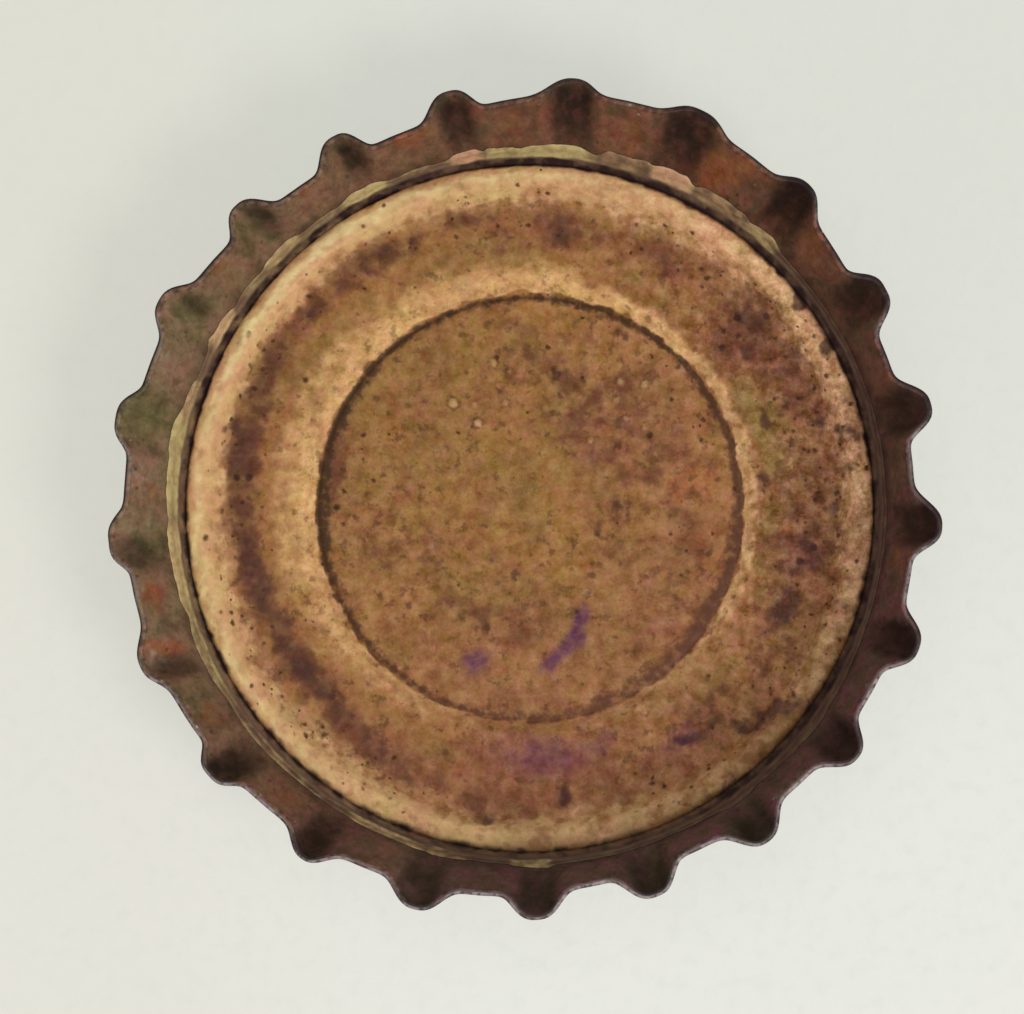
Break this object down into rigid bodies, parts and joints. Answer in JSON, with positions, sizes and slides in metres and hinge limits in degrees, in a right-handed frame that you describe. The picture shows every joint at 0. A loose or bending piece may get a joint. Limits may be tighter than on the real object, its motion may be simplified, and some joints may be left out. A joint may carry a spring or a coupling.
{
  "type": "bottle cap",
  "caption": "Used crown bottle cap lying open side up: a fluted tinplate shell, bent where it was prised off, with a stained plastic liner moulded inside.",
  "frame": {"origin": "centre of the flat outer panel, on the surface that the cap lies on", "axes": "+Z out of the cap's open mouth, at right angles to the panel; the opener's bend is towards +Y and a little +X"},
  "size_m": [0.032, 0.0324, 0.0061],
  "materials": {
    "tinplate": "lacquered tinplate gone dull and brown, with rust in the flutes and a bare grey cut edge",
    "liner_plastic": "yellowed soft plastic, satin, with brown stains, dark specks and a dirty crease round the bead"
  },
  "bodies": {
    "root": {"crown_shell": "tinplate", "liner": "liner_plastic"}
  },
  "joints": []
}
